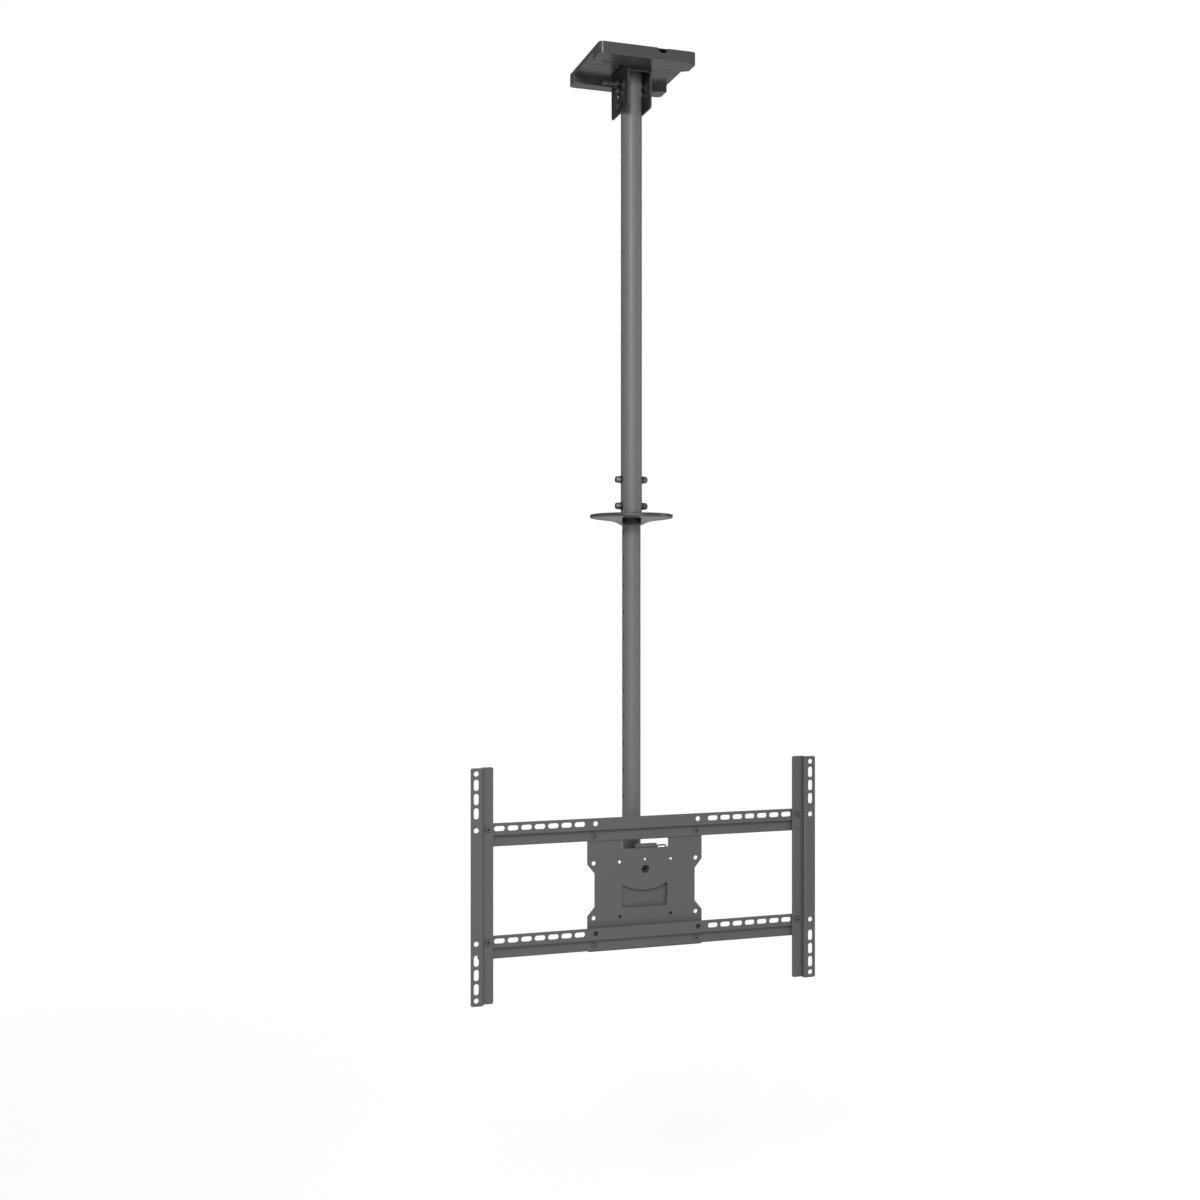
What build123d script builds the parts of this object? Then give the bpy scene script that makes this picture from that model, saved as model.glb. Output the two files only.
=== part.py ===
from build123d import *
import math
import os

os.makedirs("parts", exist_ok=True)

# Frame: the origin is on the ceiling, on the pole's axis. X runs along the rails,
# -Y points at the viewer, Z is up. All values are in mm.

# Fits
RUN = 0.07        # radial play of faces that turn or slide on each other
APART = 0.3       # space between other faces of pieces that move
PLAY = 0.05       # radial play of a screw in its nut

# Ceiling plate and covers
PLATE_X = 184.0
PLATE_Y = 186.0
PLATE_T = 3.0
ANCHOR_X = 70.0
ANCHOR_Y = 82.0
ANCHOR_R = 4.5
COVER_X = 94.5
COVER_Y = 95.6
COVER_WALL = 2.2
BAND_DEEP = 9.0
BLOCK_DEEP = 22.0
NEAR_EDGE = 49.0
FAR_EDGE = 71.0
COVER_CORNER = 9.0
SPLIT = 0.1
COVER_GAP = 2.0

# Yoke and its three cross bolts
POLE_R = 20.0
EAR_GAP = 0.5
EAR_T = 3.0
EAR_IN = POLE_R + EAR_GAP
EAR_OUT = EAR_IN + EAR_T
EAR_HALF = 48.0
COVER_GAP_X = EAR_OUT + 1.5
EAR_LOW = -95.0
WEB_TOP = -PLATE_T
WEB_LOW = WEB_TOP - EAR_T
LIP_T = 3.0
LIP_LOW = -29.3
PIVOT_Z = -81.0
LEAN_R = 26.0
GUIDE_R = 41.0
LEAN_MAX = 45.0
BOLT_R = 4.0
HEAD_R = 6.5
HEAD_H = 4.5
THREAD_OUT = 8.0    # thread that stands out past the left ear
GUIDE_END = 58.0    # left end of the long guide bolt
NUT_ACROSS = 13.0
NUT_HIGH = 6.5
GUIDE_NUT = 16.0
GUIDE_NUT_HIGH = 8.0
FLAT_UP = 30.0      # turn of a nut whose flat faces up, in degrees
SLOT_PLAY = 0.4
YOKE_SCREW_X = 12.0
YOKE_SCREW_Y = 37.0

# Pole
POLE_TOP = -18.0
TRAY_TOP = -853.5
POLE_LOW = TRAY_TOP - 5.0
POLE_WALL = 2.2
DROP_GAP = 0.3     # space between the two tubes
DROP_R = POLE_R - POLE_WALL - DROP_GAP
DROP_WALL = 2.0
DROP_TOP = -603.0
DROP_LOW = -1570.0
STEP = 50.0
HEIGHT_Z = -787.7
DROP_HOLE_R = 4.5
HOLES_ABOVE = 2
HOLES_BELOW = 12

# Tray
TRAY_R = 78.5
TRAY_RIM = 7.5
TRAY_ROUND = 2.2
TRAY_LOW = -873.4
WINDOW_HALF = 17.2
WINDOW_TOP = POLE_LOW
TRAY_TURN = -18.24
TRAY_SCREW_Z = TRAY_TOP - 3.0
TRAY_SCREW = 16.0
TRAY_HUB = POLE_R + 1.2

# Screen frame
ROW = 100.0
MID_Z = -1522.3
SHEET = 2.0
RAIL_FRONT = -89.0
RAIL_STEP = 9.5
ROW_IN = 10.0
RAIL_UP = 23.0
RAIL_DOWN = 20.0
SCREW_DOWN = 23.3
RAIL_SCREW_R = 2.5
SLOT_LONG = 20.0
SLOT_R = 4.5
PITCH = 25.0
FIRST_SLOT = 130.0
SLOTS = 8
LAST_SLOT = FIRST_SLOT + PITCH * (SLOTS - 1)
RAIL_END = LAST_SLOT + SLOT_LONG / 2 + 2.5
VESA_X = 100.0
PANEL_T = 2.5
PANEL_FRONT = RAIL_FRONT + RAIL_STEP + SHEET
PANEL_BACK = PANEL_FRONT + PANEL_T
PANEL_HALF = 112.0
WAIST = 98.0
PANEL_TOP = 88.7
PANEL_LOW = -135.3

# Arms
ARM_HALF = ROW + 110.0
ARM_INNER = 20.0
ARM_OUTER = 23.0
ARM_SCREW_X = LAST_SLOT - 3.0
ARM_FOLD = ARM_SCREW_X + ARM_INNER / 2
ARM_IN = ARM_FOLD - ARM_INNER
ARM_OUT = ARM_FOLD + ARM_OUTER
ARM_COLUMN = ARM_OUT - ROW_IN
ARM_CORNER = 3.5
ARM_PITCH = (ARM_HALF - ROW_IN - ROW) / 4
ARM_BACK = RAIL_FRONT - APART
ARM_STEP = 9.5

# Head
TILT_Y = -42.0
TILT_Z = MID_Z - 4.0
BRACKET_HALF = 56.0
BRACKET_LOW = MID_Z - 82.0
BRACKET_TOP = MID_Z + 20.0
BRACKET_T = 2.5
LIP_HALF = 68.0
TAB_LEFT = -18.0
TAB_RIGHT = 24.0
TAB_TOP = MID_Z + 57.0
HEAD_EAR_IN = 39.8
HEAD_EAR_T = 3.0
SLEEVE_R = 21.0
SLEEVE_TOP = MID_Z + 5.0
SLEEVE_LOW = -1562.0
RING_LOW = -1569.6
WEB_BACK = -66.0
WEB_FRONT = WEB_BACK - BRACKET_T


def save(shape, name):
    """Write one node."""
    export_step(shape, "parts/" + name + ".step")


def block(x0, x1, y0, y1, z0, z1):
    """Box from its six faces."""
    size = Box(abs(x1 - x0), abs(y1 - y0), abs(z1 - z0))
    return Pos((x0 + x1) / 2, (y0 + y1) / 2, (z0 + z1) / 2) * size


def rod(point, way, r, long):
    """Round bar that starts at point and runs along way."""
    bar = Cylinder(r, long, align=(Align.CENTER, Align.CENTER, Align.MIN))
    return Plane(origin=point, z_dir=way) * bar


def placed(shape, point, way):
    """Stand a shape made along +Z on point, with +Z turned to way."""
    return Plane(origin=point, z_dir=way) * shape


def outline(points, z0, z1):
    """Upright prism over a closed outline of X and Y."""
    face = make_face(Polyline(*points, close=True))
    return Pos(0, 0, min(z0, z1)) * extrude(face, abs(z1 - z0))


def socket_bolt(r, long, head_r, head_h, key):
    """Cap screw: head above z 0 with a six-sided socket, shank below."""
    head = Cylinder(head_r, head_h, align=(Align.CENTER, Align.CENTER, Align.MIN))
    head = fillet(head.edges().group_by(Axis.Z)[-1], 0.9)
    shank = Pos(0, 0, -long) * Cylinder(r, long, align=(Align.CENTER, Align.CENTER, Align.MIN))
    shank = chamfer(shank.edges().group_by(Axis.Z)[0], 0.6)
    well = extrude(RegularPolygon(key / math.sqrt(3), 6), head_h * 0.55)
    return head + shank - Pos(0, 0, head_h * 0.45) * well


def flat_screw(r, long, head_r, key):
    """Countersunk screw: top of the head at z 0, shank below."""
    cone = Cone(r, head_r, head_r - r, align=(Align.CENTER, Align.CENTER, Align.MAX))
    shank = Pos(0, 0, -long) * Cylinder(r, long, align=(Align.CENTER, Align.CENTER, Align.MIN))
    well = extrude(RegularPolygon(key / math.sqrt(3), 6), -1.8)
    return cone + shank - well


def hex_nut(r, across, high):
    """Nut from z 0 up, with rounded-off corners."""
    prism = extrude(RegularPolygon(across / math.sqrt(3), 6), high)
    tall = high + across / 2 - 0.4
    cap = Cone(tall, 0.01, tall, align=(Align.CENTER, Align.CENTER, Align.MIN))
    bore = Cylinder(r + PLAY, high, align=(Align.CENTER, Align.CENTER, Align.MIN))
    return (prism & cap) - bore


def dome_nut(r, across, high, dome):
    """Cap nut from z 0 up: six-sided foot and a closed dome."""
    prism = extrude(RegularPolygon(across / math.sqrt(3), 6), high)
    tall = high + across / 2 - 0.4
    cap = Cone(tall, 0.01, tall, align=(Align.CENTER, Align.CENTER, Align.MIN))
    ball_r = across / 2 - 0.4
    ball = Pos(0, 0, high) * Sphere(ball_r)
    ball = ball & block(-20, 20, -20, 20, high - 1.0, high + dome)
    bore = Cylinder(r + PLAY, high, align=(Align.CENTER, Align.CENTER, Align.MIN))
    return (prism & cap) + ball - bore


def group(items):
    """Several separate solids as one node."""
    return Compound(children=[item.solid() for item in items])


def near_outline(inset):
    """Plan of the front block of the cover, drawn in by inset."""
    x = COVER_X - inset
    y = COVER_Y - inset
    edge = NEAR_EDGE + inset
    turn = inset * 0.5
    return [(-x, -y), (x, -y), (x, -57 - turn), (81.4 - turn, -edge),
            (-81.4 + turn, -edge), (-x, -57 - turn)]


def far_outline(inset):
    """Plan of the rear block of the cover, drawn in by inset."""
    x = COVER_X - inset
    y = COVER_Y - inset
    return [(x, y), (-x, y), (-x, 60 + inset * 0.9), (-69, 69 + inset),
            (0, FAR_EDGE + inset), (69, 69 + inset), (x, 60 + inset * 0.9)]


def cover_shell():
    """The whole hollow cover before it is split in two halves."""
    band = block(-COVER_X, COVER_X, -COVER_Y, COVER_Y, -BAND_DEEP, 0)
    body = band + outline(near_outline(0), -BLOCK_DEEP, 0) + outline(far_outline(0), -BLOCK_DEEP, 0)
    upright = body.edges().filter_by(Axis.Z)
    corners = [e for e in upright if abs(e.center().X) > COVER_X - 1 and abs(e.center().Y) > COVER_Y - 1]
    body = fillet(corners, COVER_CORNER)
    w = COVER_WALL
    hollow = block(-COVER_X + w, COVER_X - w, -COVER_Y + w, COVER_Y - w, -BAND_DEEP + w, 1)
    hollow = hollow + outline(near_outline(w), -BLOCK_DEEP + w, 1)
    hollow = hollow + outline(far_outline(w), -BLOCK_DEEP + w, 1)
    upright = hollow.edges().filter_by(Axis.Z)
    near_x = COVER_X - w - 1
    near_y = COVER_Y - w - 1
    corners = [e for e in upright if abs(e.center().X) > near_x and abs(e.center().Y) > near_y]
    hollow = fillet(corners, COVER_CORNER - w)
    body = body - hollow
    mouth = EAR_HALF + COVER_GAP
    body = body - block(-COVER_GAP_X, COVER_GAP_X, -mouth, mouth, -BLOCK_DEEP - 8, 1)
    notch = rod((28, -COVER_Y - 1, 1.5), (0, 1, 0), 10.5, 8)
    return body - notch


def front_cover(shell):
    """Half of the cover at the viewer's side, with the cable notch."""
    return shell & block(-120, 120, -120, -SPLIT, -40, 2)


def rear_cover(shell):
    """Half of the cover behind the pole."""
    return shell & block(-120, 120, SPLIT, 120, -40, 2)


def ceiling_plate():
    """Steel plate against the ceiling, with four anchor holes."""
    plate = block(-PLATE_X / 2, PLATE_X / 2, -PLATE_Y / 2, PLATE_Y / 2, -PLATE_T, 0)
    plate = fillet(plate.edges().filter_by(Axis.Z), 7.0)
    for x in (-ANCHOR_X, ANCHOR_X):
        for y in (-ANCHOR_Y, ANCHOR_Y):
            plate = plate - rod((x, y, -10), (0, 0, 1), ANCHOR_R, 20)
    for x in (-YOKE_SCREW_X, YOKE_SCREW_X):
        for y in (-YOKE_SCREW_Y, YOKE_SCREW_Y):
            plate = plate - rod((x, y, -10), (0, 0, 1), 3.0, 20)
            sink = Cone(3.0, 6.0, 3.0, align=(Align.CENTER, Align.CENTER, Align.MAX))
            plate = plate - Pos(x, y, 0) * sink
    return plate


def yoke():
    """Folded U with two ears, short end lips, axle holes and curved slots."""
    body = block(-EAR_OUT, EAR_OUT, -EAR_HALF, EAR_HALF, EAR_LOW, WEB_TOP)
    top = [e for e in body.edges().filter_by(Axis.Y) if e.center().Z > WEB_TOP - 0.1]
    body = fillet(top, 4.5)
    solid_u = body
    room = block(-EAR_IN, EAR_IN, -EAR_HALF - 1, EAR_HALF + 1, EAR_LOW - 1, WEB_LOW)
    top = [e for e in room.edges().filter_by(Axis.Y) if e.center().Z > WEB_LOW - 0.1]
    body = body - fillet(top, 1.5)
    low = [e for e in body.edges().filter_by(Axis.X) if e.center().Z < EAR_LOW + 0.1]
    body = fillet(low, 6.0)
    for side in (-1, 1):
        lip = block(-EAR_OUT, EAR_OUT, side * (EAR_HALF - LIP_T), side * EAR_HALF, LIP_LOW, WEB_TOP)
        body = body + (lip & solid_u)
    body = body - rod((-40, 0, PIVOT_Z), (1, 0, 0), BOLT_R + PLAY, 80)
    for radius in (LEAN_R, GUIDE_R):
        turn = math.radians(LEAN_MAX + 0.6)
        side = radius * math.sin(turn)
        drop = PIVOT_Z + radius * math.cos(turn)
        arc = ThreePointArc((-side, drop), (0, PIVOT_Z + radius), (side, drop))
        slot = SlotArc(arc, 2 * (BOLT_R + SLOT_PLAY))
        body = body - extrude(Plane.YZ * slot, 60, both=True)
    for x in (-YOKE_SCREW_X, YOKE_SCREW_X):
        for y in (-YOKE_SCREW_Y, YOKE_SCREW_Y):
            body = body - rod((x, y, -12), (0, 0, 1), 3.0, 12)
    return body


def yoke_spots():
    """Places of the four screws between plate and yoke."""
    return [(x, y) for x in (-YOKE_SCREW_X, YOKE_SCREW_X) for y in (-YOKE_SCREW_Y, YOKE_SCREW_Y)]


def yoke_screws():
    return group([placed(flat_screw(3.0, 11.5, 6.0, 4.0), (x, y, 0), (0, 0, 1)) for x, y in yoke_spots()])


def yoke_nuts():
    return group([placed(hex_nut(3.0, 10.0, 5.0), (x, y, WEB_LOW), (0, 0, -1)) for x, y in yoke_spots()])


def outer_tube():
    """Upper tube with the cross holes of all five bolts."""
    tube = rod((0, 0, POLE_LOW), (0, 0, 1), POLE_R, POLE_TOP - POLE_LOW)
    tube = tube - rod((0, 0, POLE_LOW - 1), (0, 0, 1), POLE_R - POLE_WALL, POLE_TOP - POLE_LOW + 2)
    tube = tube - rod((-40, 0, PIVOT_Z), (1, 0, 0), BOLT_R + RUN, 80)
    for z in (PIVOT_Z + LEAN_R, PIVOT_Z + GUIDE_R, HEIGHT_Z, HEIGHT_Z - STEP):
        tube = tube - rod((-40, 0, z), (1, 0, 0), BOLT_R + PLAY, 80)
    return tube


def cross_bolt(z, out_left, head_r, head_h, gap):
    """Bolt along X with its head at the right ear and its end at the left."""
    face = EAR_OUT + gap
    return placed(socket_bolt(BOLT_R, face + out_left, head_r, head_h, 5.0), (face, 0, z), (1, 0, 0))


def cross_nut(z, across, high, gap, turn):
    """Nut at the left ear, on the bolt at height z."""
    return placed(Rot(0, 0, turn) * hex_nut(BOLT_R, across, high), (-EAR_OUT - gap, 0, z), (-1, 0, 0))


def height_bolts():
    """Two cap screws that pin the tubes, heads at the left."""
    face = POLE_R + 2.5
    bolt = socket_bolt(BOLT_R, 2 * face + 5.5, 6.3, 9.0, 6.0)
    return group([placed(bolt, (-face, 0, z), (-1, 0, 0)) for z in (HEIGHT_Z, HEIGHT_Z - STEP)])


def height_nuts():
    nut = dome_nut(BOLT_R, 12.6, 6.2, 3.6)
    return group([placed(nut, (POLE_R + 2.5, 0, z), (1, 0, 0)) for z in (HEIGHT_Z, HEIGHT_Z - STEP)])


def height_washers():
    """Saddle washers that fit the round of the tube."""
    items = []
    for z in (HEIGHT_Z, HEIGHT_Z - STEP):
        for side in (-1, 1):
            ring = rod((side * 17.0, 0, z), (side, 0, 0), 7.3, POLE_R + 2.5 - 17.0)
            ring = ring - rod((side * 16.0, 0, z), (side, 0, 0), BOLT_R + PLAY, 10)
            items.append(ring - rod((0, 0, z - 12), (0, 0, 1), POLE_R, 24))
    return group(items)


def tray_body():
    """Turned body of the tray: round rim and a hollow-curved foot."""
    edge = TRAY_ROUND
    flat = TRAY_R - edge
    hub = TRAY_HUB
    low = TRAY_TOP - TRAY_RIM
    bend = edge * (1 - math.sqrt(0.5))
    with BuildSketch(Plane.XZ) as profile:
        with BuildLine():
            Line((0, TRAY_TOP), (flat, TRAY_TOP))
            ThreePointArc((flat, TRAY_TOP), (TRAY_R - bend, TRAY_TOP - bend), (TRAY_R, TRAY_TOP - edge))
            Line((TRAY_R, TRAY_TOP - edge), (TRAY_R, low + edge))
            ThreePointArc((TRAY_R, low + edge), (TRAY_R - bend, low + bend), (flat, low))
            Spline((flat, low), (TRAY_R * 0.637, low - 3.6), (hub + 6, TRAY_LOW + 3.2), (hub, TRAY_LOW))
            Line((hub, TRAY_LOW), (0, TRAY_LOW))
            Line((0, TRAY_LOW), (0, TRAY_TOP))
        make_face()
    return revolve(profile.sketch, Axis.Z)


def tray_window():
    """Space at the tray's front that shows the dark bush."""
    gap = block(-WINDOW_HALF, WINDOW_HALF, -3 * POLE_R, -POLE_R * 0.6, TRAY_LOW - 1, WINDOW_TOP)
    return Rot(0, 0, TRAY_TURN) * gap


def tray(body):
    body = body - rod((0, 0, POLE_LOW), (0, 0, 1), POLE_R + PLAY, 20)
    body = body - rod((0, 0, TRAY_LOW - 1), (0, 0, 1), POLE_R + PLAY, 30)
    body = body - tray_window()
    return body - rod((0, POLE_R - 5, TRAY_SCREW_Z), (0, 1, 0), 1.5, TRAY_R)


def tray_bush(body):
    """Dark guide bush in the tray, with its foot in the front window."""
    ring = rod((0, 0, TRAY_LOW), (0, 0, 1), POLE_R + PLAY, POLE_LOW - TRAY_LOW)
    front = block(-TRAY_R, TRAY_R, -TRAY_R, 0, TRAY_LOW - 5, POLE_LOW)
    foot = (body & tray_window()) & Rot(0, 0, TRAY_TURN) * front
    foot = foot & rod((0, 0, TRAY_LOW - 1), (0, 0, 1), POLE_R + 4.5, 30)
    whole = ring + foot
    return whole - rod((0, 0, TRAY_LOW - 1), (0, 0, 1), DROP_R + RUN, 40)


def tray_screw():
    """Grub screw that holds the tray on the outer tube."""
    pin = rod((0, POLE_R, TRAY_SCREW_Z), (0, 1, 0), 1.5, TRAY_SCREW)
    well = placed(extrude(RegularPolygon(0.85, 6), -1.5), (0, POLE_R + TRAY_SCREW, TRAY_SCREW_Z), (0, 1, 0))
    return pin - well


def inner_tube():
    """Lower tube with cross holes one step apart."""
    tube = rod((0, 0, DROP_LOW), (0, 0, 1), DROP_R, DROP_TOP - DROP_LOW)
    tube = tube - rod((0, 0, DROP_LOW - 1), (0, 0, 1), DROP_R - DROP_WALL, DROP_TOP - DROP_LOW + 2)
    for k in range(-HOLES_ABOVE, HOLES_BELOW + 1):
        tube = tube - rod((-40, 0, HEIGHT_Z - STEP * k), (1, 0, 0), DROP_HOLE_R, 80)
    return tube


def tube_plug():
    plug = rod((0, 0, DROP_LOW - 3), (0, 0, 1), DROP_R, 3)
    plug = fillet(plug.edges().group_by(Axis.Z)[0], 1.2)
    return plug + rod((0, 0, DROP_LOW), (0, 0, 1), DROP_R - DROP_WALL, 14)


def thrust_ring():
    """Collar on the inner tube that carries the swivel head."""
    ring = rod((0, 0, RING_LOW), (0, 0, 1), SLEEVE_R + 1.5, SLEEVE_LOW - APART - RING_LOW)
    ring = chamfer(ring.edges().filter_by(GeomType.CIRCLE), 0.8)
    ring = ring - rod((0, 0, RING_LOW - 1), (0, 0, 1), DROP_R, 12)
    return ring - rod((0, 10, (RING_LOW + SLEEVE_LOW - APART) / 2), (0, 1, 0), 2.0, 20)


def ring_screw():
    z = (RING_LOW + SLEEVE_LOW - APART) / 2
    pin = rod((0, DROP_R, z), (0, 1, 0), 2.0, 4.6)
    well = placed(extrude(RegularPolygon(1.15, 6), -2.0), (0, DROP_R + 4.6, z), (0, 1, 0))
    return pin - well


def swivel_head():
    """Sleeve that turns on the inner tube, with the tilt tube in front."""
    sleeve = rod((0, 0, SLEEVE_LOW), (0, 0, 1), SLEEVE_R, SLEEVE_TOP - SLEEVE_LOW)
    sleeve = chamfer(sleeve.edges().group_by(Axis.Z)[-1], 0.8)
    lug = block(-13, 13, TILT_Y, -14, TILT_Z - 7.5, TILT_Z + 6.5)
    cross = rod((-HEAD_EAR_IN + APART, TILT_Y, TILT_Z), (1, 0, 0), 8.0, 2 * (HEAD_EAR_IN - APART))
    rib = block(-2.5, 2.5, TILT_Y + 2, -18, SLEEVE_LOW + 8, TILT_Z)
    boss = rod((0, 15, SLEEVE_LOW + 16), (0, 1, 0), 7.5, 11)
    head = sleeve + lug + cross + rib + boss
    head = head - rod((0, 0, SLEEVE_LOW - 1), (0, 0, 1), DROP_R + RUN, 60)
    head = head - rod((-60, TILT_Y, TILT_Z), (1, 0, 0), BOLT_R + PLAY, 120)
    return head - rod((0, 10, SLEEVE_LOW + 16), (0, 1, 0), 3.0, 20)


def swivel_screw():
    """Screw at the back that clamps the turning head."""
    z = SLEEVE_LOW + 16
    screw = socket_bolt(3.0 - PLAY, 26 - DROP_R - APART, 5.0, 5.0, 4.0)
    return placed(screw, (0, 26, z), (0, 1, 0))


def tilt_bolt():
    """Axle of the tilt, with a flat round head at the left."""
    face = HEAD_EAR_IN + HEAD_EAR_T + APART
    bolt = socket_bolt(BOLT_R, face + 66, 7.0, 4.5, 5.0)
    return placed(bolt, (-face, TILT_Y, TILT_Z), (-1, 0, 0))


def tilt_knob():
    """Seven-lobed hand knob at the right end of the tilt axle."""
    start = HEAD_EAR_IN + HEAD_EAR_T + APART
    sketch = Circle(19.2)
    for k in range(7):
        angle = math.radians(360.0 * k / 7 + 90)
        sketch = sketch + Pos(17.0 * math.cos(angle), 17.0 * math.sin(angle)) * Circle(5.9)
    grip = extrude(sketch, 18.0)
    grip = chamfer(grip.edges().group_by(Axis.Z)[-1], 1.4)
    knob = Pos(0, 0, 5.0) * grip + Cylinder(9.0, 6.0, align=(Align.CENTER, Align.CENTER, Align.MIN))
    knob = knob - Cylinder(BOLT_R + RUN, 60)
    return placed(knob, (start, TILT_Y, TILT_Z), (1, 0, 0))


def tilt_bracket():
    """Folded bracket: web with side lips and tab to the panel, ears to the axle."""
    t = BRACKET_T
    low = BRACKET_LOW
    high = BRACKET_TOP
    body = block(-BRACKET_HALF, BRACKET_HALF, WEB_FRONT, WEB_BACK, low, high)
    for side in (-1, 1):
        wall_in = side * (BRACKET_HALF - t)
        body = body + block(wall_in, side * BRACKET_HALF, PANEL_BACK, WEB_BACK, low, high)
        lip = block(wall_in, side * LIP_HALF, PANEL_BACK, PANEL_BACK + t, low + 6, high - 6)
        body = body + lip
        ear_in = side * HEAD_EAR_IN
        ear_out = side * (HEAD_EAR_IN + HEAD_EAR_T)
        ear = block(ear_in, ear_out, WEB_BACK - 1, TILT_Y, TILT_Z - 26, TILT_Z + 15)
        lug = rod((ear_in, TILT_Y, TILT_Z), (side, 0, 0), 15.0, HEAD_EAR_T)
        foot = outline([(ear_in, WEB_BACK), (ear_out, WEB_BACK), (ear_out, TILT_Y), (ear_in, TILT_Y)],
                       TILT_Z - 26, TILT_Z - 10)
        body = body + ear + lug + foot
    tab = block(TAB_LEFT, TAB_RIGHT, PANEL_BACK, PANEL_BACK + t, high - 2, TAB_TOP)
    tops = [e for e in tab.edges().filter_by(Axis.Y) if e.center().Z > TAB_TOP - 1]
    tab = fillet(tops, 3.0)
    joggle = block(TAB_LEFT, TAB_RIGHT, PANEL_BACK, WEB_BACK, high - t, high)
    body = body + tab + joggle
    body = body - rod((0, -90, MID_Z + 28), (0, 1, 0), 2.8, 40)
    body = body - rod((0, -90, MID_Z + 10), (0, 1, 0), 3.0, 30)
    return body - rod((-60, TILT_Y, TILT_Z), (1, 0, 0), BOLT_R + RUN, 120)


def vesa_plate():
    """Screen plate with waist, two windows and its hole pattern."""
    half = [(PANEL_HALF, PANEL_LOW), (PANEL_HALF, -70.6), (WAIST, -54.0), (WAIST, 7.0),
            (PANEL_HALF, 24.0), (PANEL_HALF, PANEL_TOP)]
    points = half + [(-x, z) for x, z in reversed(half)]
    sheet = make_face(Polyline(*points, close=True))
    corners = [v for v in sheet.vertices() if abs(v.X) > WAIST + 1 and (v.Y > 80 or v.Y < -130)]
    sheet = fillet(corners, 3.0)
    bends = [v for v in sheet.vertices() if abs(abs(v.X) - WAIST) < 0.1]
    sheet = fillet(bends, 3.0)
    slot = Pos(0, 57.25) * RectangleRounded(91.0, 16.5, 2.5)
    with BuildSketch() as window:
        with BuildLine():
            Line((-45, -16), (-45, -54))
            ThreePointArc((-45, -54), (-43.5, -57.5), (-40, -59))
            Line((-40, -59), (38, -59))
            ThreePointArc((38, -59), (41.5, -57.5), (43, -54))
            Line((43, -54), (43, -16))
            ThreePointArc((43, -16), (-1, -27.5), (-45, -16))
        make_face()
    sheet = sheet - slot - window.sketch
    for x in (-VESA_X, VESA_X):
        for z in (PANEL_TOP - 12.0, PANEL_LOW + 12.0):
            sheet = sheet - Pos(x, z) * Circle(RAIL_SCREW_R + PLAY)
        for z in (25.7, -74.3):
            sheet = sheet - Pos(x, z) * Circle(4.0)
            sheet = sheet - Pos(x / 2, z) * Circle(3.0)
    sheet = sheet - Pos(0, 28) * Circle(2.8) - Pos(0, 10) * Circle(7.5)
    panel = extrude(Plane((0, PANEL_BACK, MID_Z), x_dir=(1, 0, 0), z_dir=(0, -1, 0)) * sheet, PANEL_T)
    return panel


def centre_bolt():
    return placed(socket_bolt(3.0 - PLAY, 9.0, 5.2, 4.0, 4.0), (0, WEB_FRONT, MID_Z + 10), (0, -1, 0))


def centre_nut():
    return placed(hex_nut(3.0 - PLAY, 10.0, 4.5), (0, WEB_BACK, MID_Z + 10), (0, 1, 0))


def cable_ring():
    """Wire loop behind the window that holds a cable."""
    y = WEB_BACK + 1.3
    x = 36.5
    half = 9.2
    turn = 5.0
    side = turn * (1 - math.sqrt(0.5))
    base = MID_Z + 2
    top = MID_Z + 52 - 1.3
    path = Polyline((x - half, y, base), (x - half, y, top - turn))
    left = [(x - half, y, top - turn), (x - half + side, y, top - side), (x - half + turn, y, top)]
    right = [(x + half - turn, y, top), (x + half - side, y, top - side), (x + half, y, top - turn)]
    path = path + ThreePointArc(*left) + Line(left[2], right[0]) + ThreePointArc(*right)
    path = path + Line(right[2], (x + half, y, base))
    start = Plane(origin=(x - half, y, base), z_dir=(0, 0, 1))
    return sweep(start * Circle(1.3), path=path)


def folded_rail(row):
    """Z section along X with the slot row in its upper flange."""
    top = row + ROW_IN
    fold = top - RAIL_UP
    low = fold - RAIL_DOWN
    back = RAIL_FRONT + RAIL_STEP
    points = [(RAIL_FRONT, top), (RAIL_FRONT, fold), (back, fold), (back, low),
              (back + SHEET, low), (back + SHEET, fold + SHEET), (RAIL_FRONT + SHEET, fold + SHEET),
              (RAIL_FRONT + SHEET, top)]
    sheet = make_face(Polyline(*points, close=True))
    outer = [v for v in sheet.vertices() if (abs(v.X - RAIL_FRONT) < 0.1 and abs(v.Y - fold) < 0.1)
             or (abs(v.X - back - SHEET) < 0.1 and abs(v.Y - fold - SHEET) < 0.1)]
    sheet = fillet(outer, 2.8)
    inner = [v for v in sheet.vertices() if (abs(v.X - back) < 0.1 and abs(v.Y - fold) < 0.1)
             or (abs(v.X - RAIL_FRONT - SHEET) < 0.1 and abs(v.Y - fold - SHEET) < 0.1)]
    sheet = fillet(inner, 0.8)
    rail = extrude(Plane.YZ * sheet, RAIL_END, both=True)
    ends = [e for e in rail.edges().filter_by(Axis.Y) if abs(abs(e.center().X) - RAIL_END) < 0.1
            and (abs(e.center().Z - top) < 0.1 or abs(e.center().Z - low) < 0.1)]
    rail = fillet(ends, 3.0)
    face = Plane((0, RAIL_FRONT + 5, row), x_dir=(1, 0, 0), z_dir=(0, -1, 0))
    holes = Pos(VESA_X, 0) * Circle(SLOT_R) + Pos(-VESA_X, 0) * Circle(SLOT_R)
    for k in range(SLOTS):
        x = FIRST_SLOT + PITCH * k
        for side in (-1, 1):
            holes = holes + Pos(side * x, 0) * SlotOverall(SLOT_LONG, 2 * SLOT_R)
    rail = rail - extrude(face * holes, 12)
    for x in (-VESA_X, VESA_X):
        rail = rail - rod((x, RAIL_FRONT, row - SCREW_DOWN), (0, 1, 0), RAIL_SCREW_R + PLAY, 20)
    return rail


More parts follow.
